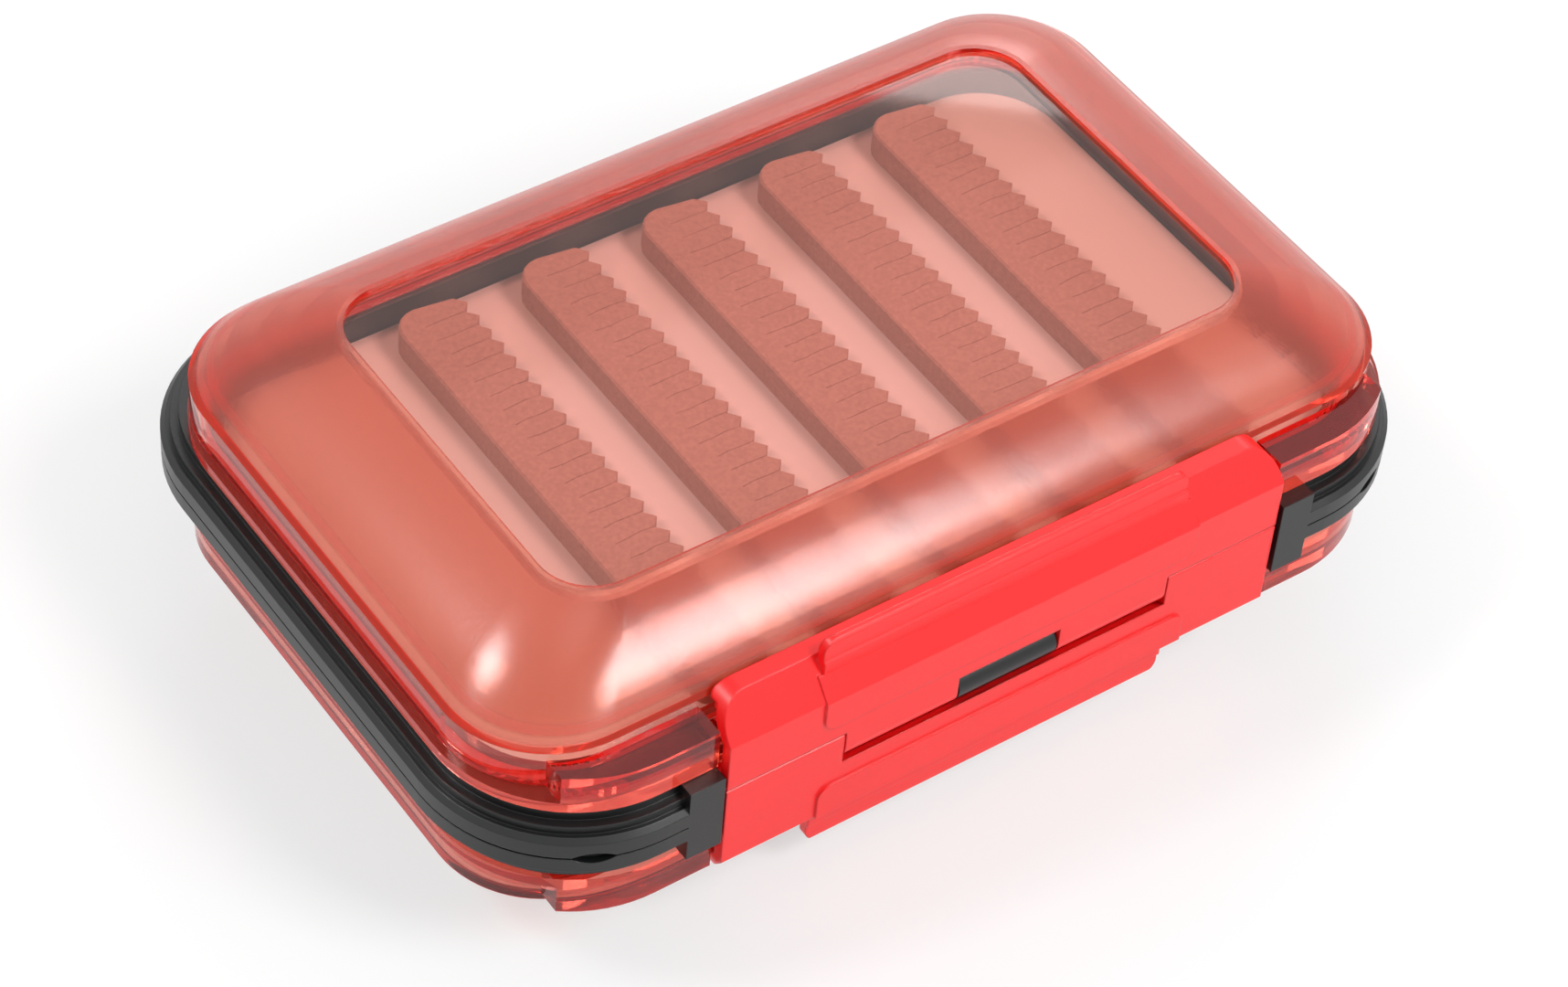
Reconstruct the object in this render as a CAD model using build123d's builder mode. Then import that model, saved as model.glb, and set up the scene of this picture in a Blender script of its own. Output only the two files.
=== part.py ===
from build123d import *
from math import cos, radians, sin
import os

os.makedirs("parts", exist_ok=True)

# Overall sizes, in millimetres
band_length = 150.0
band_depth = 103.7
band_corner = 22.3
half_height = 23.8

# Frame: mid band, stepped bead, sealing wall and partition
band_half = 3.2
band_bevel = 0.7
bead_step = 1.3
bead_half = 4.5
wall_step = 2.5
wall_half = 6.1
side_wall = 7.8
end_wall = 11.35
room_corner = 12.5
partition_half = 1.2
partition_root = 1.0
parting_width = 0.3
parting_deep = 0.3

# Almond slots in the band at the front corners
slot_lean = 25.0
slot_half_length = 3.0
slot_half_high = 0.9
slot_deep = 1.2

# White sheets glued on both faces of the partition
sheet_thick = 1.0
sheet_gap = 0.3

# Ripple foam strips
strip_count = 5
strip_pitch = 19.6
strip_middle = 6.1
strip_width = 11.2
strip_end_gap = 2.5
strip_high = 4.2
strip_corner = 4.0

# Lids: flange, upright wall, domed sides and sunken window
lid_gap = 0.4
flange_thick = 1.6
flange_inset = 2.0
flange_back = 5.65
mouth_gap = 0.4
lid_wall = 1.8
dome_side = 1.1
dome_front = 5.05
dome_back = 2.3
dome_corner = 15.2
dome_base = 14.0
dome_start = 62.0
dome_end = 28.0
slope_side = 17.2
slope_front = 13.4
slope_back = 13.9
crest_corner = 8.3
crest_rim = 0.8
window_sink = 0.7
roof_drop = 0.9

# Clear corner blocks on the flange
ear_rise = 4.7
ear_from_end = 10.2
ear_end_gap = 0.5

# Seals, carried by the lids and entering grooves in the frame
seal_width = 1.6
seal_set_in = 0.7
seal_hang = 1.05
seal_offset = 2.25
groove_width = 2.3
groove_deep = 1.4

# Latch pin and the barrels along it
pin_radius = 1.0
run_fit = 0.06
tight_fit = 0.02
barrel_wall = 1.5
barrel_gap = 0.3
wing_room = 1.1
tongue_room = 0.9
knuckle_half = 7.8
knuckle_foot_half = 1.8
tongue_half = 25.6
lug_width = 5.2
lug_half_high = 6.2
pin_short = 0.5
pin_end_gap = 0.1

# Latches
latch_from_end = 31.2
latch_gap = 0.5
recess_gap = 0.6
latch_set_in = 0.35
latch_wall = 1.6
latch_over = 0.3
latch_reach = 6.7
latch_nose = 0.6
latch_corner = 4.2
facet_rise = 4.9
facet_deep = 4.1
panel_edge = 14.3
panel_raise = 0.35
panel_low = 5.6
panel_corner = 2.0
ridge_deep = 2.5
tab_edge = 15.1
tab_in = 2.35
tab_thick = 1.3
tab_low = 2.8
tab_high = 3.15
tab_foot_high = 2.6
tab_foot_out = 0.35
tab_corner = 2.0
tab_soft = 0.4
catch_edge = 1.8
catch_in = 3.9
catch_wide = 2.4
catch_gap = 0.35
rib_edge = 0.8
rib_in = 3.3
rib_wide = 1.8
rib_drop = 2.9

# Hinges at the back
hinge_in = 4.65
hinge_wall = 1.3
frame_hinge_wall = 1.1
hinge_width = 9.3
hinge_spacing = 25.0
hinge_side_gap = 0.4
hinge_clear = 0.35
hinge_foot = 1.0

# Heights above the middle plane, worked out from the sizes above
floor_z = partition_half + sheet_thick
lid_low = wall_half + lid_gap
flange_top = lid_low + flange_thick
ear_top = flange_top + ear_rise
roof_z = dome_base - roof_drop
window_top = half_height - window_sink
latch_low = dome_base + latch_over
latch_top = latch_low + latch_wall
facet_low = latch_top - facet_rise
rib_top = latch_low - rib_drop
catch_low = rib_top + catch_gap
hinge_z = lid_low

# Outlines worked out from the sizes above: length, depth, corner, shift
band = (band_length, band_depth, band_corner, 0)
room_length = band_length - 2 * side_wall
room_depth = band_depth - 2 * end_wall
room = (room_length, room_depth, room_corner, 0)
flange_length = band_length - 2 * flange_inset
flange_depth = band_depth - flange_inset - flange_back
flange_shift = (flange_inset - flange_back) / 2
flange = (flange_length, flange_depth, band_corner - flange_inset, flange_shift)
dome_length = flange_length - 2 * dome_side
dome_depth = flange_depth - dome_front - dome_back
dome_shift = flange_shift + (dome_front - dome_back) / 2
outer_base = (dome_length, dome_depth, dome_corner, dome_shift)
inner_base = (dome_length - 2 * lid_wall, dome_depth - 2 * lid_wall, dome_corner - lid_wall, dome_shift)
crest_length = dome_length - 2 * slope_side
crest_depth = dome_depth - slope_front - slope_back
crest_shift = dome_shift + (slope_front - slope_back) / 2
crest = (crest_length, crest_depth, crest_corner, crest_shift)

# How far the seal and its groove lie outside the room's outline
seal_ring = (seal_offset - seal_width / 2, seal_offset + seal_width / 2)
groove = (seal_offset - groove_width / 2, seal_offset + groove_width / 2)

# Places along X and Y worked out from the sizes above
strip_length = room_depth - 2 * strip_end_gap
barrel_radius = pin_radius + barrel_wall
wing_reach = barrel_radius + wing_room
tongue_swing = barrel_radius + tongue_room
latch_half = band_length / 2 - latch_from_end
latch_face = band_depth / 2 - latch_set_in
latch_back = latch_face - latch_reach
pin_y = barrel_radius - latch_face
pin_half = latch_half + lug_width - pin_short
recess_half = latch_half + recess_gap
front_wall = -pin_y - wing_reach - hinge_side_gap
lip_front = latch_face - latch_wall - latch_gap
ear_outer = band_length / 2 - ear_from_end
hinge_y = band_depth / 2 - hinge_in
hinge_radius = pin_radius + hinge_wall
frame_hinge_radius = pin_radius + frame_hinge_wall
knuckle_in = hinge_spacing - hinge_width / 2
hinge_half = hinge_spacing + hinge_width / 2

# The middle plane, and upright planes seen from the right and from the front
mid = Plane.XY.offset(half_height)
side = Plane(origin=(0, 0, half_height), x_dir=(0, 1, 0), z_dir=(1, 0, 0))
front = Plane(origin=(0, 0, half_height), x_dir=(1, 0, 0), z_dir=(0, -1, 0))


def draw(outline, mode=Mode.ADD):
    """Rounded rectangle in the sketch at hand: length, depth, corner and shift along Y."""
    with Locations((0, outline[3])):
        RectangleRounded(*outline[:3], mode=mode)


def slab(outline, low, high, mode=Mode.ADD):
    """Rounded plate between two heights above the middle plane."""
    with BuildSketch(mid.offset(low)) as plate:
        draw(outline)
    extrude(plate.sketch, amount=high - low, mode=mode)


def grown(outline, grow):
    """The same outline moved outward by an even amount."""
    length, depth, corner, shift = outline
    return length + 2 * grow, depth + 2 * grow, corner + grow, shift


def ring(outline, inner, outer, low, high, mode=Mode.ADD):
    """Rounded ring that lies between two growths of an outline."""
    with BuildSketch(mid.offset(low)) as plate:
        draw(grown(outline, outer))
        draw(grown(outline, inner), Mode.SUBTRACT)
    extrude(plate.sketch, amount=high - low, mode=mode)


def block(x0, x1, y0, y1, z0, z1, mode=Mode.ADD):
    """Straight block between two corners, heights above the middle plane."""
    with Locations(((x0 + x1) / 2, (y0 + y1) / 2, half_height + (z0 + z1) / 2)):
        Box(x1 - x0, y1 - y0, z1 - z0, mode=mode)


def rod(x0, x1, y, z, radius, mode=Mode.ADD):
    """Cylinder along X between two stations."""
    with Locations(((x0 + x1) / 2, y, half_height + z)):
        Cylinder(radius, x1 - x0, rotation=(0, 90, 0), mode=mode)


def bar_along_x(points, half):
    """Outline of Y and Z points pushed out the same way to both ends."""
    with BuildSketch(side) as section:
        with BuildLine():
            Polyline(*points, close=True)
        make_face()
    extrude(section.sketch, amount=half, both=True)


def round_ends(half, low, high, corner):
    """Keeps what lies inside a front outline whose corners are rounded."""
    with BuildSketch(front) as outline:
        with Locations((0, (low + high) / 2)):
            Rectangle(2 * half, high - low)
        fillet(outline.vertices(), corner)
    extrude(outline.sketch, amount=band_depth, mode=Mode.INTERSECT)


def both_sides(x0, x1):
    """The same stretch along X on the right and on the left."""
    return [(x0, x1), (-x1, -x0)]


def dome(base, top, low, high, ruled=False, mode=Mode.ADD):
    """Domed solid whose sides follow an arc from a base outline to a crest outline."""
    span = sin(radians(dome_start)) - sin(radians(dome_end))
    levels = []
    for step in range(5):
        angle = radians(dome_start + (dome_end - dome_start) * step / 4)
        inward = (sin(radians(dome_start)) - sin(angle)) / span
        upward = (cos(angle) - cos(radians(dome_start))) / span
        with BuildSketch(mid.offset(low + (high - low) * upward)) as level:
            draw([a + (b - a) * inward for a, b in zip(base, top)])
        levels.append(level.sketch)
    loft(levels, ruled=ruled, mode=mode)


# Frame
with BuildPart() as frame:
    slab(grown(room, partition_root), -partition_half, partition_half)
    slab(band, -band_half, band_half)
    outer = frame.edges().filter_by(Plane.XY).group_by(Axis.Z)
    chamfer(outer[0] + outer[-1], band_bevel)
    for step, half in ((bead_step, bead_half), (wall_step, wall_half)):
        slab(grown(band, -step), -half, half)
    # Rooms on both sides of the partition
    for low, high in ((partition_half, wall_half), (-wall_half, -partition_half)):
        slab(room, low, high, Mode.SUBTRACT)
    # Seal grooves in both rims
    ring(room, *groove, wall_half - groove_deep, wall_half, Mode.SUBTRACT)
    ring(room, *groove, -wall_half, groove_deep - wall_half, Mode.SUBTRACT)
    # Fine parting line round the band
    ring(band, -parting_deep, parting_deep, -parting_width / 2, parting_width / 2, Mode.SUBTRACT)
    # Front recess between the lugs, then the lugs
    block(-recess_half, recess_half, -band_depth, -front_wall, -wall_half, wall_half, Mode.SUBTRACT)
    for x0, x1 in both_sides(recess_half, recess_half + lug_width):
        block(x0, x1, -band_depth / 2, -front_wall, -lug_half_high, lug_half_high)
        bore_end = pin_half + pin_end_gap
        rod(max(x0, -bore_end), min(x1, bore_end), pin_y, 0, pin_radius + tight_fit, Mode.SUBTRACT)
    # Middle knuckle for the latch pin
    block(-knuckle_half, knuckle_half, pin_y, -front_wall, -knuckle_foot_half, knuckle_foot_half)
    rod(-knuckle_half, knuckle_half, pin_y, 0, barrel_radius)
    rod(-knuckle_half, knuckle_half, pin_y, 0, pin_radius + tight_fit, Mode.SUBTRACT)
    # Almond slots at the front corners
    for turn in (-1, 1):
        lean = radians(slot_lean)
        centre_x = band_length / 2 - band_corner
        centre_y = -band_depth / 2 + band_corner
        out = (turn * sin(lean), -cos(lean), 0)
        spot = (turn * centre_x + out[0] * band_corner, centre_y + out[1] * band_corner, half_height)
        with BuildSketch(Plane(origin=spot, x_dir=(cos(lean), turn * sin(lean), 0), z_dir=out)):
            with BuildLine():
                for bulge in (slot_half_high, -slot_half_high):
                    ThreePointArc((-slot_half_length, 0), (0, bulge), (slot_half_length, 0))
            make_face()
        extrude(amount=-slot_deep, mode=Mode.SUBTRACT)
    # Hinge knuckles and pockets at the back, above and below
    for turn in (-1, 1):
        z = turn * hinge_z
        for x0, x1 in both_sides(hinge_width / 2 + hinge_side_gap, knuckle_in - hinge_side_gap):
            rod(x0, x1, hinge_y, z, frame_hinge_radius)
            rod(x0, x1, hinge_y, z, pin_radius + tight_fit, Mode.SUBTRACT)
        for x in (-hinge_spacing, 0, hinge_spacing):
            reach = hinge_width / 2 + hinge_side_gap
            rod(x - reach, x + reach, hinge_y, z, hinge_radius + hinge_clear, Mode.SUBTRACT)

# Floor sheets
with BuildPart() as top_floor_sheet:
    slab(grown(room, -sheet_gap), partition_half, floor_z)
with BuildPart() as bottom_floor_sheet:
    mirror(top_floor_sheet.part, about=mid)


def foam_strip(index):
    """One strip of the top room, with round corners on its left side."""
    left = strip_middle + (index - (strip_count + 1) / 2) * strip_pitch - strip_width / 2
    with BuildPart() as strip:
        with BuildSketch(mid.offset(floor_z)) as outline:
            with Locations((left, 0)):
                Rectangle(strip_width, strip_length, align=(Align.MIN, Align.CENTER))
            fillet(outline.vertices().group_by(Axis.X)[0], strip_corner)
        extrude(amount=strip_high)
    return strip.part


# Lids
with BuildPart() as top_lid:
    slab(flange, lid_low, flange_top)
    slab(outer_base, lid_low, dome_base)
    dome(outer_base, crest, dome_base, half_height)
    # Front edge stands back for the latch and carries its rib
    block(-recess_half, recess_half, -band_depth, -lip_front, lid_low, flange_top, Mode.SUBTRACT)
    rib_front = latch_face - rib_in
    rib_half = latch_half - rib_edge
    block(-rib_half, rib_half, -rib_front, rib_wide - rib_front, lid_low, rib_top)
    # Clear corner blocks follow the flange's curve and run into the wall
    with BuildSketch(mid.offset(lid_low)):
        draw(flange)
        draw(grown(flange, -dome_front - lid_wall / 2), Mode.SUBTRACT)
        ear_inner = latch_half + ear_end_gap
        ear_middle = (ear_inner + ear_outer) / 2
        with Locations((ear_middle, -band_depth / 2), (-ear_middle, -band_depth / 2)):
            Rectangle(ear_outer - ear_inner, band_depth / 2, mode=Mode.INTERSECT)
    extrude(amount=ear_top - lid_low)
    # Mouth over the room, then the hollow above the flange
    slab(grown(room, mouth_gap), lid_low, flange_top, Mode.SUBTRACT)
    slab(inner_base, flange_top, roof_z, Mode.SUBTRACT)
    dome(inner_base, crest, roof_z, window_top - lid_wall, True, Mode.SUBTRACT)
    # Sunken window
    slab(grown(crest, -crest_rim), window_top, half_height, Mode.SUBTRACT)
    # Seal channel under the flange
    ring(room, *seal_ring, lid_low, lid_low + seal_set_in, Mode.SUBTRACT)
    # Hinge knuckles, with the flange cut back round those of the frame
    cut_half = hinge_half + hinge_side_gap
    cut_y = hinge_y - frame_hinge_radius - hinge_clear
    block(-cut_half, cut_half, cut_y, band_depth, lid_low, flange_top, Mode.SUBTRACT)
    for x in (-hinge_spacing, 0, hinge_spacing):
        x0, x1 = x - hinge_width / 2, x + hinge_width / 2
        block(x0, x1, cut_y - hinge_foot, hinge_y, lid_low, flange_top)
        rod(x0, x1, hinge_y, hinge_z, hinge_radius)
        rod(x0, x1, hinge_y, hinge_z, pin_radius + run_fit, Mode.SUBTRACT)
with BuildPart() as bottom_lid:
    mirror(top_lid.part, about=mid)

# Seals
with BuildPart() as top_seal:
    ring(room, *seal_ring, lid_low - seal_hang, lid_low + seal_set_in)
with BuildPart() as bottom_seal:
    mirror(top_seal.part, about=mid)

# Shell that both latches share, standing up from the pin
with BuildPart() as shell:
    facet_back = latch_face - facet_deep
    facet_in = latch_wall * (2 ** 0.5 - 1)
    nose = latch_back + latch_nose
    bar_along_x([(-latch_face, 0), (-latch_face, facet_low), (-facet_back, latch_top),
                 (-latch_back, latch_top), (-latch_back, latch_low + latch_nose), (-nose, latch_low),
                 (facet_in - facet_back, latch_low), (latch_wall - latch_face, facet_low - facet_in),
                 (latch_wall - latch_face, 0)], latch_half)
    round_ends(latch_half, -latch_corner, latch_top, latch_corner)
    # Catch rail that sits over the lid's rib
    catch_front = latch_face - catch_in
    block(catch_edge - latch_half, latch_half - catch_edge, -catch_front, catch_wide - catch_front,
          catch_low, latch_low + latch_wall / 2)
# Raised panel over the face and the lower part of the facet
with BuildPart() as panel:
    face = latch_face + panel_raise
    sunk = latch_face - latch_wall / 3
    ridge_z = facet_low + ridge_deep * facet_rise / facet_deep
    bar_along_x([(-sunk, panel_low), (-face, panel_low), (-face, facet_low), (ridge_deep - face, ridge_z),
                 (ridge_deep + panel_raise - face, ridge_z - panel_raise), (-sunk, facet_low)],
                latch_half - panel_edge)
    round_ends(latch_half - panel_edge, panel_low, ridge_z + 2 * panel_corner, panel_corner)
# Finger tab standing up from the middle of the facet, on a thicker foot
with BuildPart() as tab:
    tab_front = latch_face - tab_in
    tab_rear = tab_front - tab_thick
    tab_foot = latch_top - tab_low
    tab_step = tab_foot + tab_foot_high
    tab_top = latch_top + tab_high
    bar_along_x([(-tab_front - tab_foot_out, tab_foot), (-tab_front - tab_foot_out, tab_step),
                 (-tab_front, tab_step + tab_foot_out), (-tab_front, tab_top - tab_soft),
                 (tab_soft - tab_front, tab_top), (-tab_rear - tab_soft, tab_top),
                 (-tab_rear, tab_top - tab_soft), (-tab_rear, tab_foot)], latch_half - tab_edge)
    round_ends(latch_half - tab_edge, 0, tab_top, tab_corner)

# Latches
swing = wing_reach + barrel_gap
notch = knuckle_half + barrel_gap
tongue = both_sides(notch, tongue_half)
wings = both_sides(tongue_half + barrel_gap, latch_half)
with BuildPart() as upper_latch:
    add([shell.part, panel.part, tab.part])
    for x0, x1 in both_sides(tongue_half, latch_half + 1) + [(-notch, notch)]:
        rod(x0, x1, pin_y, 0, swing, Mode.SUBTRACT)
    for x0, x1 in tongue:
        rod(x0, x1, pin_y, 0, barrel_radius)
        rod(x0, x1, pin_y, 0, pin_radius + run_fit, Mode.SUBTRACT)
with BuildPart() as lower_latch:
    mirror(shell.part, about=mid)
    mirror(panel.part, about=mid)
    mirror(tab.part, about=mid)
    rod(-latch_half, latch_half, pin_y, 0, tongue_swing, Mode.SUBTRACT)
    for x0, x1 in wings:
        rod(x0, x1, pin_y, 0, wing_reach)
        block(x0, x1, pin_y - wing_reach, -latch_face, -wing_reach, wing_reach, Mode.SUBTRACT)
        block(x0, x1, pin_y + barrel_radius, -front_wall + wing_reach, -wing_reach, wing_reach, Mode.SUBTRACT)
        rod(x0, x1, pin_y, 0, pin_radius + run_fit, Mode.SUBTRACT)

# Pins
with BuildPart() as latch_pin:
    rod(-pin_half, pin_half, pin_y, 0, pin_radius)
with BuildPart() as top_hinge_pin:
    rod(-hinge_half, hinge_half, hinge_y, hinge_z, pin_radius)
with BuildPart() as bottom_hinge_pin:
    mirror(top_hinge_pin.part, about=mid)

# Names and export
pieces = {"frame": frame.part, "top_floor_sheet": top_floor_sheet.part}
pieces |= {"bottom_floor_sheet": bottom_floor_sheet.part, "top_lid": top_lid.part}
pieces |= {"bottom_lid": bottom_lid.part, "top_seal": top_seal.part, "bottom_seal": bottom_seal.part}
pieces |= {"upper_latch": upper_latch.part, "lower_latch": lower_latch.part, "latch_pin": latch_pin.part}
pieces |= {"top_hinge_pin": top_hinge_pin.part, "bottom_hinge_pin": bottom_hinge_pin.part}
for number in range(1, strip_count + 1):
    strip = foam_strip(number)
    with BuildPart() as under:
        mirror(strip, about=mid)
    pieces |= {f"top_foam_strip_{number}": strip, f"bottom_foam_strip_{number}": under.part}
for name, shape in pieces.items():
    shape.label = name
    export_step(shape, f"parts/{name}.step")
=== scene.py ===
from math import cos, pi, radians, sin
from random import Random

import bmesh
import bpy
from mathutils import Matrix, Vector


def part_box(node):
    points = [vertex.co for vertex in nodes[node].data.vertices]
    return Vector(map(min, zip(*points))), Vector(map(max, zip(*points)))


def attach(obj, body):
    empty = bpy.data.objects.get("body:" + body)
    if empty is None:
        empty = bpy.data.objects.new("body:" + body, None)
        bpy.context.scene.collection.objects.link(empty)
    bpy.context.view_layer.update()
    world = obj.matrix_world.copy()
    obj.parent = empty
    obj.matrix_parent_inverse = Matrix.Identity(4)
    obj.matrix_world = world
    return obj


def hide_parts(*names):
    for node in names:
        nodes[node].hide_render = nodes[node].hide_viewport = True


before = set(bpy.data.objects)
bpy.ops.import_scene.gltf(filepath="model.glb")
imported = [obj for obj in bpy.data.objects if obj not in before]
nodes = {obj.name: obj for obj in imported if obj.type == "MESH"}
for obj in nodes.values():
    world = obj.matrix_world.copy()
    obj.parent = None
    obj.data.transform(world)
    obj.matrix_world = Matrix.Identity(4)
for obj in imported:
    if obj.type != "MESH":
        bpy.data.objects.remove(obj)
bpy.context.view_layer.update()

# Places read from the frame, in metres
frame_low, frame_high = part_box("frame")
mid_height = (frame_low.z + frame_high.z) / 2
half_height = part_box("top_lid")[1].z - mid_height

# Foam strips: rippled edge, and a hook slit from each valley of it
strip_count = 5
tooth_pitch = 0.0031
tooth_deep = 0.0014
strip_corner = 0.004
corner_steps = 5
slit_long = 0.0062
slit_wide = 0.00007
slit_deep = 0.0012
slit_wave = 0.00016
slit_longer, slit_shorter = -0.0006, 0.0008
slit_bends = (1, 2, 3)
notch_points = 2 * (1 + len(slit_bends))
foam_soft = 0.00032
lip_soft = 0.00006
brim_share = 0.8
edge_sag = 0.00016
edge_near = 0.0001
mitre_least = 0.5

# Places of the lid's finish: heights from the middle plane, window from the middle of the box
frost_start = 0.0147
frost_blend = 0.0004
window_half = Vector((0.0539, 0.0299))
window_corner = 0.0075
window_shift = -0.0007
window_under = 0.0207

# How much light the plastic scatters at each height above the middle plane, and its colour there; the
# flange's edge and the narrow band just under the frosting get more of it as a painted glow on the rims
share_stops = (
    (0.0080, 0.20),
    (0.0084, 0.05),
    (0.0138, 0.05),
    (0.0140, 0.50),
    (0.0147, 0.50),
    (0.0151, 0.22),
)
scatter_and_painted_glow_stops = (
    (0.0080, (0.70, 0.060, 0.040)),
    (0.0138, (0.60, 0.035, 0.030)),
    (0.0140, (0.85, 0.075, 0.030)),
    (0.0147, (0.85, 0.075, 0.030)),
    (0.0151, (0.90, 0.15, 0.08)),
)

# Colours of the lid, clear and frosted: as seen through it, and of the light that it lets in. The
# frosted tint is darker than the clear one, as a painted shade for the dim inside seen through the
# frost.
clear_tint = (1.0, 0.84, 0.80, 1.0)
frosted_shaded_tint = (0.76, 0.43, 0.31, 1.0)
clear_light = (1.0, 0.97, 0.96, 1.0)
frosted_light = (0.85, 0.76, 0.70, 1.0)
plastic_colour = (0.985, 0.28, 0.14, 1.0)
plastic_density = 178.0
plastic_ior = 1.49
clear_rough = 0.03
frosted_rough = 0.24
frosted_coat = 0.5
frosted_grain = 0.4
passed_share = 0.5

# Floor and background. To the camera the floor glows more far from the box, and ends in white.
floor_size = 3.0
floor_drop = 0.00005
floor_seen = 0.32
floor_bounce = 0.82
glow_near, glow_far = 0.08, 0.26
lift_near = 0.62
lift_far = 0.45
lift_far_seen = 0.98
full_white = (1.0, 1.0, 1.0, 1.0)
sky_low, sky_high = 0.12, 0.50
sky_low_light, sky_high_light = 0.60, 0.25

# Lamps: turn and height in degrees, distance and size in metres, power in watts
lamps = (
    ("left", -120, 51, 1.0, 0.22, 3.8),
    ("right", 26, 48, 0.75, 0.25, 3.7),
    ("top", 0, 88, 1.2, 0.35, 0.4),
    ("rim", 140, 25, 1.1, 0.6, 4),
)

# Camera
azimuth = radians(-38.52)
elevation = radians(46.06)
roll = radians(5.39)
camera_distance = 0.59185
aim_right = 0.00045
aim_up = -0.00933
lens = 100.93
sensor = 36.0


class Graph:
    """Emptied node tree of a material or world, with short ways to fill it."""

    def __init__(self, owner):
        owner.use_nodes = True
        self.tree = owner.node_tree
        self.tree.nodes.clear()

    def add(self, kind, inputs=None, **settings):
        """Add a node. Each input is a plain value or the socket that feeds it."""
        node = self.tree.nodes.new("ShaderNode" + kind)
        for name, value in settings.items():
            setattr(node, name, value)
        for name, value in (inputs or {}).items():
            if isinstance(value, bpy.types.NodeSocket):
                self.tree.links.new(value, node.inputs[name])
            else:
                node.inputs[name].default_value = value
        return node

    def math(self, operation, *values, clamp=False):
        node = self.add("Math", dict(enumerate(values)), operation=operation, use_clamp=clamp)
        return node.outputs["Value"]

    def span(self, value, to_min, to_max, from_min=0.0, from_max=1.0):
        """Map a value from one range to another."""
        return self.add("MapRange", {
            "Value": value,
            "From Min": from_min,
            "From Max": from_max,
            "To Min": to_min,
            "To Max": to_max,
        }).outputs["Result"]

    def blend(self, factor, first, second, how="MIX"):
        """Blend two colours."""
        inputs = {"Factor": factor, "A": first, "B": second}
        return self.add("Mix", inputs, data_type="RGBA", blend_type=how).outputs["Result"]

    def noise(self, vector, scale, detail):
        return self.add("TexNoise", {"Vector": vector, "Scale": scale, "Detail": detail}).outputs["Fac"]

    def ramp(self, value, stops):
        """Colour ramp from stops of position and colour."""
        node = self.add("ValToRGB", {"Fac": value})
        points = node.color_ramp.elements
        while len(points) < len(stops):
            points.new(1.0)
        for point, (position, colour) in zip(points, stops):
            point.position = position
            point.color = (*colour, 1.0)
        return node.outputs["Color"]

    def choose(self, factor, first, second):
        """Mix two shaders."""
        return self.add("MixShader", {"Fac": factor, 1: first, 2: second}).outputs["Shader"]


def new_material(name):
    material = bpy.data.materials.new(name)
    return material, Graph(material)


def moulded(name, colour, roughness, grain, edge=0.0002, variation=0.06, gloss_change=0.15):
    """Moulded plastic: fine grain in the bump, soft changes in gloss and colour."""
    material, graph = new_material(name)
    place = graph.add("TexCoord").outputs["Object"]
    cloud = graph.noise(place, scale=60.0, detail=4.0)
    tone = graph.span(cloud, 1.0 - variation, 1.0 + variation)
    soft_edge = graph.add("Bevel", {"Radius": edge}, samples=4)
    bump = graph.add("Bump", {
        "Strength": grain,
        "Distance": 0.00004,
        "Height": graph.noise(place, scale=2600.0, detail=3.0),
        "Normal": soft_edge.outputs["Normal"],
    })
    shader = graph.add("BsdfPrincipled", {
        "Base Color": graph.blend(1.0, (*colour, 1.0), tone, "MULTIPLY"),
        "Roughness": graph.span(cloud, roughness * (1 - gloss_change), roughness * (1 + gloss_change)),
        "Normal": bump.outputs["Normal"],
    })
    graph.add("OutputMaterial", {"Surface": shader.outputs["BSDF"]})
    return material


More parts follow.
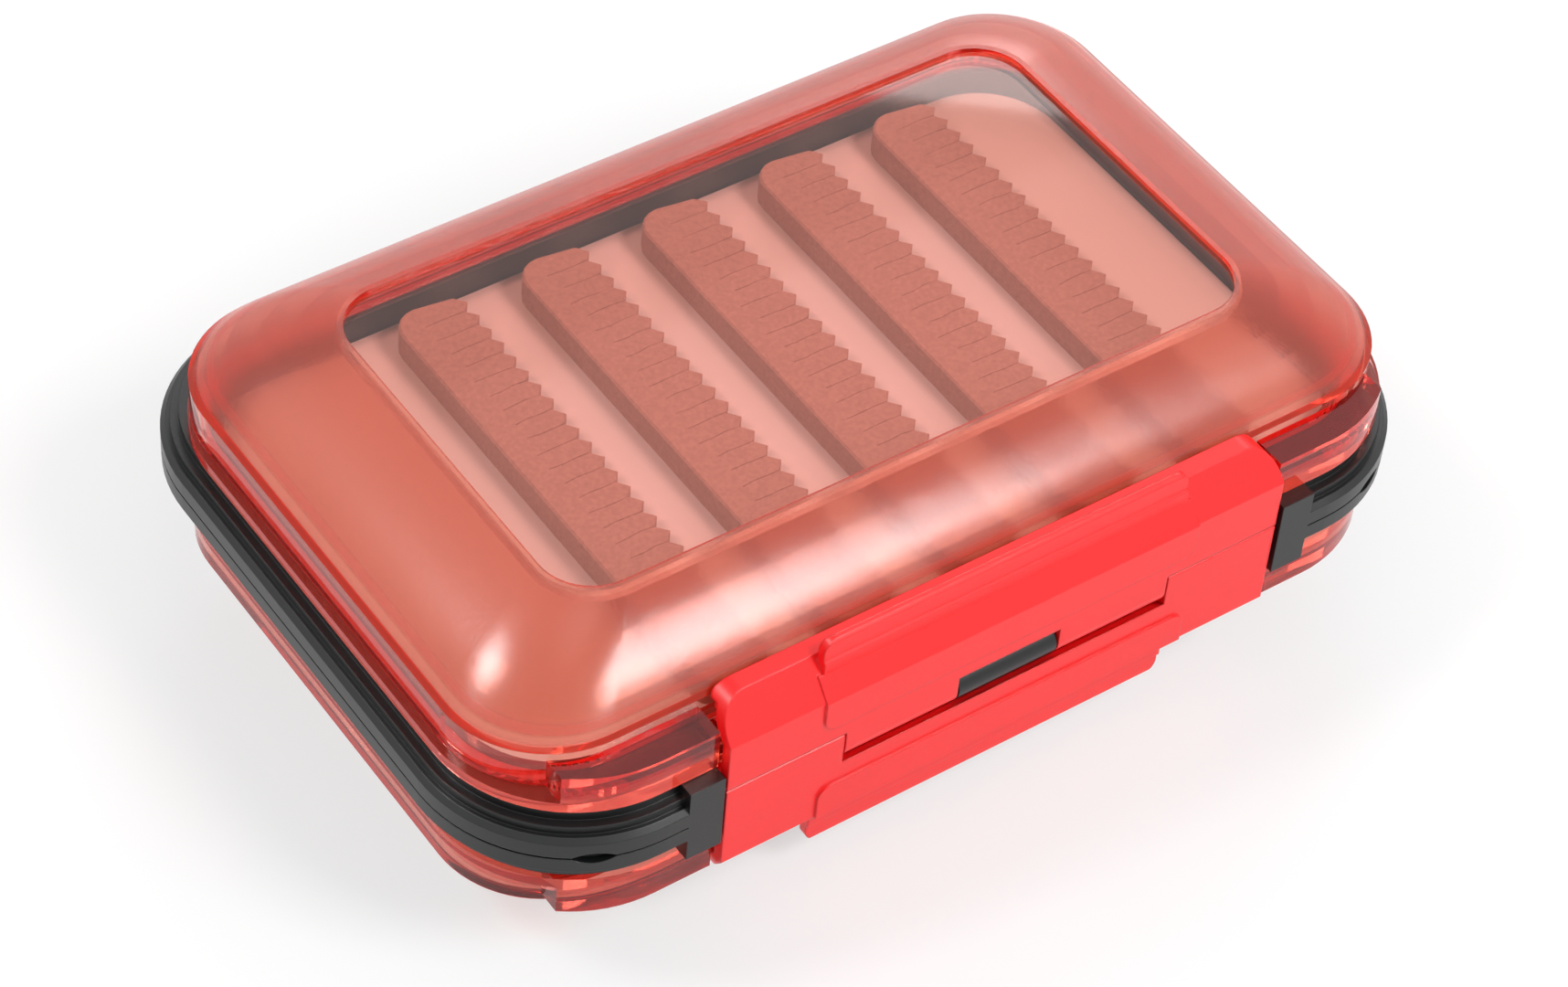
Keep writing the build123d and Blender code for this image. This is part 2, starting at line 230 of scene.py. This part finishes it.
def lid_material():
    """Clear red plastic with a painted glow on its rims, which turns to frosted on the domed sides."""
    material, graph = new_material("lid_plastic")
    math = graph.math
    place = graph.add("TexCoord").outputs["Object"]
    split = graph.add("SeparateXYZ", {"Vector": place})

    # Frosted above a set height, apart from the window
    rise = math("ABSOLUTE", math("SUBTRACT", split.outputs["Z"], mid_height))
    frost = math("DIVIDE", math("SUBTRACT", rise, frost_start), frost_blend, clamp=True)
    across = []
    for axis, half, shift in (("X", window_half.x, 0.0), ("Y", window_half.y, window_shift)):
        away = math("ABSOLUTE", math("SUBTRACT", split.outputs[axis], shift))
        over = math("MAXIMUM", math("SUBTRACT", away, half - window_corner), 0.0)
        across.append(math("MULTIPLY", over, over))
    inside = math("LESS_THAN", math("SQRT", math("ADD", *across)), window_corner)
    window = math("MULTIPLY", inside, math("GREATER_THAN", rise, window_under))
    around = math("SUBTRACT", 1.0, window)
    frosted = math("MULTIPLY", frost, around)

    # Clear body, rough on the outer face where it is frosted, and tinted darker there as a painted shade
    outer = math("SUBTRACT", 1.0, graph.add("NewGeometry").outputs["Backfacing"])
    texture = math("MULTIPLY", frosted, outer)
    bump = graph.add("Bump", {
        "Strength": math("MULTIPLY", texture, frosted_grain),
        "Distance": 0.00006,
        "Height": graph.noise(place, scale=1800.0, detail=2.0),
    }).outputs["Normal"]
    plastic = graph.add("BsdfPrincipled", {
        "Base Color": graph.blend(frosted, clear_tint, frosted_shaded_tint),
        "Roughness": graph.span(texture, clear_rough, frosted_rough),
        "IOR": plastic_ior,
        "Transmission Weight": 1.0,
        "Coat Weight": math("MULTIPLY", texture, frosted_coat),
        "Coat Roughness": frosted_rough,
        "Normal": bump,
    }).outputs["BSDF"]

    # Light scattered by the frosting, and a painted glow on the rims
    level = math("DIVIDE", rise, half_height)
    share = graph.ramp(level, [(at / half_height, (grey,) * 3) for at, grey in share_stops])
    glow = graph.ramp(level, [(at / half_height, colour) for at, colour in scatter_and_painted_glow_stops])
    held, passed = (
        graph.add(kind, {"Color": glow, "Normal": bump}).outputs["BSDF"]
        for kind in ("BsdfDiffuse", "BsdfTranslucent")
    )
    soft = graph.choose(passed_share, held, passed)
    body = graph.choose(math("MULTIPLY", share, around), plastic, soft)

    # Shadow and diffuse rays go straight through, so that the room is lit
    ray = graph.add("LightPath")
    through = math("MAXIMUM", ray.outputs["Is Shadow Ray"], ray.outputs["Is Diffuse Ray"])
    light = graph.blend(frosted, clear_light, frosted_light)
    passing = graph.add("BsdfTransparent", {"Color": light}).outputs["BSDF"]
    depth = graph.add("VolumeAbsorption", {"Color": plastic_colour, "Density": plastic_density})
    graph.add("OutputMaterial", {
        "Surface": graph.choose(through, body, passing),
        "Volume": depth.outputs["Volume"],
    })
    return material


def foam_material():
    """Closed-cell foam with pores and a soft mottling."""
    material, graph = new_material("foam")
    place = graph.add("TexCoord").outputs["Object"]
    pores = graph.add("TexVoronoi", {"Vector": place, "Scale": 2600.0})
    colour = graph.ramp(graph.noise(place, scale=1600.0, detail=4.0), (
        (0.3, (0.410, 0.250, 0.200)),
        (0.7, (0.505, 0.310, 0.248)),
    ))
    bump = graph.add("Bump", {"Strength": 0.35, "Distance": 0.0001, "Height": pores.outputs["Distance"]})
    shader = graph.add("BsdfPrincipled", {
        "Base Color": colour,
        "Roughness": 0.9,
        "Specular IOR Level": 0.2,
        "Normal": bump.outputs["Normal"],
    })
    graph.add("OutputMaterial", {"Surface": shader.outputs["BSDF"]})
    return material


def steel_material():
    """Drawn steel wire with fine scratches along it."""
    material, graph = new_material("pin_steel")
    place = graph.add("TexCoord").outputs["Object"]
    stretch = graph.add("Mapping", {"Vector": place, "Scale": (40.0, 4000.0, 4000.0)})
    scratches = graph.add("TexNoise", {"Vector": stretch.outputs["Vector"]})
    shader = graph.add("BsdfPrincipled", {
        "Base Color": (0.6, 0.6, 0.61, 1.0),
        "Metallic": 1.0,
        "Roughness": graph.span(scratches.outputs["Fac"], to_min=0.22, to_max=0.4),
    })
    graph.add("OutputMaterial", {"Surface": shader.outputs["BSDF"]})
    return material


def floor_material():
    """Pale floor that keeps the shadow, lifts to white far off and is open from below."""
    material, graph = new_material("floor")
    ray = graph.add("LightPath")
    place = graph.add("TexCoord").outputs["Object"]
    reach = graph.add("VectorMath", {0: place}, operation="LENGTH").outputs["Value"]
    shade = graph.span(ray.outputs["Is Diffuse Ray"], floor_seen, floor_bounce)
    far = graph.span(ray.outputs["Is Camera Ray"], lift_far, lift_far_seen)
    glow = graph.span(reach, lift_near, far, glow_near, glow_far)
    direct = graph.math("SUBTRACT", 1.0, ray.outputs["Is Diffuse Ray"])
    lift = graph.add("Emission", {"Strength": graph.math("MULTIPLY", glow, direct)})
    lit = graph.add("BsdfDiffuse", {"Color": shade})
    both = graph.add("AddShader", {0: lit.outputs["BSDF"], 1: lift.outputs["Emission"]})
    below = graph.add("NewGeometry").outputs["Backfacing"]
    nothing = graph.add("BsdfTransparent").outputs["BSDF"]
    graph.add("OutputMaterial", {"Surface": graph.choose(below, both.outputs["Shader"], nothing)})
    return material


def foam_strip(room, number):
    """Foam strip with a rippled edge, hook slits and softened upper edges."""
    node = f"{room}_foam_strip_{number}"
    turn = 1 if room == "top" else -1
    draw = Random(f"{room}{number}")
    low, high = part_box(node)
    base, open_face = (low.z, high.z) if turn > 0 else (high.z, low.z)
    valley = high.x - tooth_deep
    inner = valley - slit_long
    teeth = int((high.y - low.y) / tooth_pitch)
    first = (low.y + high.y) / 2 + teeth * tooth_pitch / 2
    last = first - teeth * tooth_pitch

    def rounded(corner_y, side):
        """Corner on the plain edge, as an arc walked from the plain edge to the end."""
        centre = (low.x + strip_corner, corner_y - side * strip_corner)
        for step in range(corner_steps + 1):
            angle = pi / 2 * step / corner_steps
            yield (
                centre[0] - strip_corner * cos(angle),
                centre[1] + side * strip_corner * sin(angle),
                foam_soft,
            )

    # Slits, each wandering from its valley to its inner end
    slits = []
    for n in range(1, teeth):
        y = first - n * tooth_pitch
        reach = inner + draw.uniform(slit_longer, slit_shorter)
        route = [(valley, y)]
        for bend in slit_bends:
            x = valley + (reach - valley) * bend / len(slit_bends)
            route.append((x, y + draw.uniform(-slit_wave, slit_wave)))
        slits.append(route)

    # Full outline, walked clockwise, with every slit as a narrow notch
    half = slit_wide / 2
    outline = list(rounded(high.y, 1))
    outline.append((valley, min(first, high.y), foam_soft))
    for n in range(teeth):
        outline.append((high.x, first - (n + 0.5) * tooth_pitch, foam_soft))
        if n < len(slits):
            outline += [(x, y + half, lip_soft) for x, y in slits[n]]
            outline += [(x, y - half, lip_soft) for x, y in reversed(slits[n])]
    outline.append((valley, max(last, low.y), foam_soft))
    outline += reversed(list(rounded(low.y, -1)))
    count = len(outline)

    def inset(index, amount):
        """Point moved into the outline by an even amount."""
        here = Vector(outline[index][:2])
        before = (here - Vector(outline[index - 1][:2])).normalized()
        after = (Vector(outline[(index + 1) % count][:2]) - here).normalized()
        way_in = Vector((before.y, -before.x)) + Vector((after.y, -after.x))
        stretch = 1 + before.dot(after)
        return here + way_in * amount / max(stretch, mitre_least)

    # Walls and open face
    mesh = bmesh.new()
    rings = []
    for index, (x, y, soft) in enumerate(outline):
        in_notch = soft == lip_soft
        sag = draw.uniform(0, edge_sag) if x > valley - edge_near else 0
        top_point = inset(index, soft)
        foot = open_face - turn * slit_deep if in_notch else base
        lip = open_face - turn * (lip_soft if in_notch else foam_soft * brim_share)
        rings.append([
            mesh.verts.new((x, y, foot)),
            mesh.verts.new((x, y, lip - turn * sag)),
            mesh.verts.new((top_point.x, top_point.y, open_face - turn * sag)),
        ])
    for index in range(count):
        here, there = rings[index], rings[(index + 1) % count]
        for level in (0, 1):
            mesh.faces.new((here[level], there[level], there[level + 1], here[level + 1]))
    mesh.faces.new([ring[2] for ring in rings])

    # Floor of every slit, and the plain foot below the slits
    foot_ring = []
    mouths = []
    index = 0
    while index < count:
        if outline[index][2] != lip_soft:
            foot_ring.append(rings[index][0])
            index += 1
            continue
        notch = [ring[0] for ring in rings[index:index + notch_points]]
        mesh.faces.new(notch)
        ends = notch[0], notch[-1]
        feet = [mesh.verts.new((end.co.x, end.co.y, base)) for end in ends]
        foot_ring += feet
        mouths.append((index, ends, feet))
        index += notch_points
    mesh.faces.new(foot_ring)

    # Walls under the notch mouths, so that the form is closed
    for index, (start, end), (left, right) in mouths:
        before, after = rings[index - 1][0], rings[(index + notch_points) % count][0]
        mesh.faces.new((start, end, right, left))
        mesh.faces.new((before, start, left))
        mesh.faces.new((end, after, right))
    bmesh.ops.recalc_face_normals(mesh, faces=mesh.faces)
    bmesh.ops.triangulate(mesh, faces=[face for face in mesh.faces if len(face.verts) > 4])
    piece = new_object(f"{node}_cut", mesh)
    piece.data.materials.append(foam)
    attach(piece, "frame")
    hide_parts(node)


def new_object(name, mesh):
    """Object from a bmesh, which is used up."""
    data = bpy.data.meshes.new(name)
    mesh.to_mesh(data)
    mesh.free()
    piece = bpy.data.objects.new(name, data)
    bpy.context.scene.collection.objects.link(piece)
    return piece


def dress(name, material):
    """Give a CAD node its finish."""
    slots = nodes[name].data.materials
    slots.clear()
    slots.append(material)


def softbox(name, turn, height, distance, size, power):
    """Square lamp on a sphere round the box, aimed at its middle."""
    lamp = bpy.data.lights.new(name, "AREA")
    lamp.size = size
    lamp.energy = power
    turn, height = radians(turn), radians(height)
    away = Vector((sin(turn) * cos(height), -cos(turn) * cos(height), sin(height)))
    holder = bpy.data.objects.new(name, lamp)
    holder.location = Vector((0, 0, mid_height)) + away * distance
    holder.rotation_euler = away.to_track_quat("Z", "Y").to_euler()
    bpy.context.scene.collection.objects.link(holder)


# Finishes of the CAD nodes
black = moulded("frame_plastic", (0.006, 0.0065, 0.007), roughness=0.33, grain=0.25)
red = moulded("latch_plastic", (0.93, 0.010, 0.012), roughness=0.30, grain=0.12, edge=0.0004)
white = moulded("floor_sheet", (0.76, 0.755, 0.75), roughness=0.55, grain=0.2, variation=0.015)
rubber = moulded("seal_rubber", (0.75, 0.02, 0.02), roughness=0.5, grain=0.2)
clear_red = lid_material()
steel = steel_material()
foam = foam_material()
dress("frame", black)
for name in ("upper_latch", "lower_latch"):
    dress(name, red)
for name in ("latch_pin", "top_hinge_pin", "bottom_hinge_pin"):
    dress(name, steel)
for room in ("top", "bottom"):
    dress(f"{room}_floor_sheet", white)
    dress(f"{room}_seal", rubber)
    dress(f"{room}_lid", clear_red)
    for number in range(1, strip_count + 1):
        foam_strip(room, number)

# Floor, just under the box so that their faces don't meet
floor_mesh = bmesh.new()
bmesh.ops.create_grid(floor_mesh, x_segments=1, y_segments=1, size=floor_size)
floor = new_object("floor", floor_mesh)
floor.location.z = -floor_drop
floor.data.materials.append(floor_material())

# World: white to the eye, in reflections and through the lids; its own light is pale low down, dim above
world = bpy.data.worlds.new("studio")
bpy.context.scene.world = world
graph = Graph(world)
ray = graph.add("LightPath")
place = graph.add("TexCoord").outputs["Generated"]
split = graph.add("SeparateXYZ", {"Vector": place})
fade = graph.span(split.outputs["Z"], sky_low_light, sky_high_light, sky_low, sky_high)
dim = graph.add("Background", {"Color": full_white, "Strength": fade})
bright = graph.add("Background", {"Color": full_white, "Strength": 1.0})
seen = graph.math("MAXIMUM", ray.outputs["Is Camera Ray"], ray.outputs["Is Transmission Ray"])
shown = graph.math("MAXIMUM", seen, ray.outputs["Is Glossy Ray"])
sky = graph.choose(shown, dim.outputs["Background"], bright.outputs["Background"])
graph.add("OutputWorld", {"Surface": sky})

for lamp_values in lamps:
    softbox(*lamp_values)

# Camera at the photograph's angle
back = Vector((sin(azimuth) * cos(elevation), -cos(azimuth) * cos(elevation), sin(elevation)))
level_right = Vector((cos(azimuth), sin(azimuth), 0))
level_up = back.cross(level_right)
right = level_right * cos(roll) + level_up * sin(roll)
up = level_up * cos(roll) - level_right * sin(roll)
eye = right * aim_right + up * aim_up + back * camera_distance + Vector((0, 0, mid_height))
camera_data = bpy.data.cameras.new("camera")
camera_data.sensor_width = sensor
camera_data.lens = lens
camera = bpy.data.objects.new("camera", camera_data)
camera.matrix_world = Matrix((
    (right.x, up.x, back.x, eye.x),
    (right.y, up.y, back.y, eye.y),
    (right.z, up.z, back.z, eye.z),
    (0, 0, 0, 1),
))
bpy.context.scene.collection.objects.link(camera)
bpy.context.scene.camera = camera
bpy.context.scene.view_settings.view_transform = "Standard"
